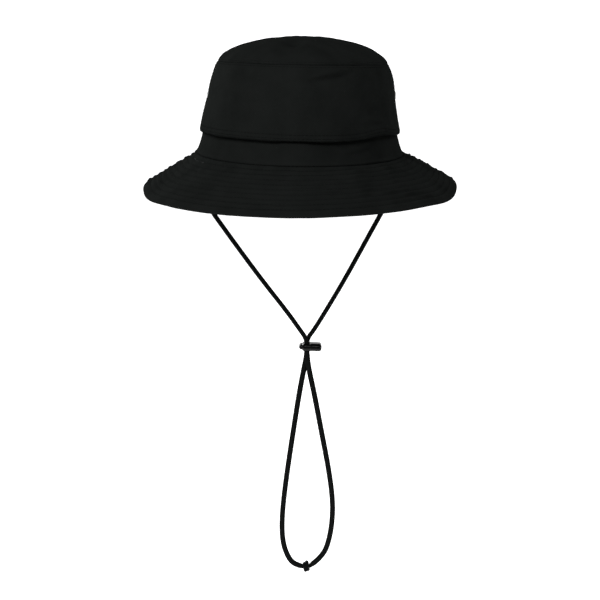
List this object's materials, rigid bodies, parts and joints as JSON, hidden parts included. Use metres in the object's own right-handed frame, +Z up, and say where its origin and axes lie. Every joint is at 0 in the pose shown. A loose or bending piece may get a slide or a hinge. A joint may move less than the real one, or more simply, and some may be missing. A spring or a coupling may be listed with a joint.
{
  "type": "bucket hat",
  "caption": "Soft bucket hat with a domed crown, an overhanging vented crown wall, a stitched sloping brim, and a looped chin cord with a sprung barrel lock.",
  "frame": {"origin": "centre of the head opening, in the plane of the seam between crown and brim", "axes": "+Z up through the crown, -Y to the front, +X to the wearer's left"},
  "size_m": [0.2636, 0.293, 0.4874],
  "materials": {
    "shell_cloth": "plain-woven black nylon, soft sheen",
    "under_cloth": "plain-woven black nylon, matt side",
    "interlining": "stiff non-woven, dark grey",
    "mesh": "warp-knitted polyester mesh",
    "sweatband": "brushed polyester tricot",
    "tape": "woven herringbone seam tape",
    "eyelet_metal": "black-lacquered brass eyelet",
    "cord": "braided black polyester cord",
    "lock_plastic": "moulded black acetal",
    "spring_steel": "bare spring wire"
  },
  "bodies": {
    "hat": {"crown_tip": "shell_cloth", "crown_wall_front": "shell_cloth", "crown_wall_back": "shell_cloth", "lower_band_front": "shell_cloth", "lower_band_back": "shell_cloth", "vent_mesh": "mesh", "sweatband": "sweatband", "tip_seam_tape": "tape", "side_seam_tape_left": "tape", "side_seam_tape_right": "tape", "brim_top_front": "shell_cloth", "brim_top_back": "shell_cloth", "brim_interlining": "interlining", "brim_under_front": "under_cloth", "brim_under_back": "under_cloth", "vent_eyelets": "eyelet_metal", "eyelet_washers": "eyelet_metal"},
    "chin_strap": {"cord_tab_left": "tape", "cord_tab_right": "tape", "chin_cord_left": "cord", "chin_cord_right": "cord", "loop_cord_left": "cord", "loop_cord_right": "cord", "cord_knot": "cord"},
    "cord_lock": {"cord_lock_body": "lock_plastic", "cord_lock_spring": "spring_steel"},
    "lock_plunger": {"cord_lock_plunger": "lock_plastic"}
  },
  "joints": [
    {"name": "chin_strap_swing", "type": "hinge", "parent": "hat", "child": "chin_strap", "pos_m": [0, 0, -0.0065], "axis": [1, 0, 0], "range_deg": [-70, 70]},
    {"name": "lock_slide", "type": "slide", "parent": "chin_strap", "child": "cord_lock", "axis": [0, 0, 1], "range_m": [-0.1, 0.08], "deforming": ["chin_cord_left", "chin_cord_right", "loop_cord_left", "loop_cord_right"]},
    {"name": "plunger_press", "type": "slide", "parent": "cord_lock", "child": "lock_plunger", "axis": [0.9994, 0, -0.0349], "range_m": [0, 0.0025], "stiffness_N_per_m": 800, "springref_m": -0.002, "deforming": ["cord_lock_spring"]}
  ]
}
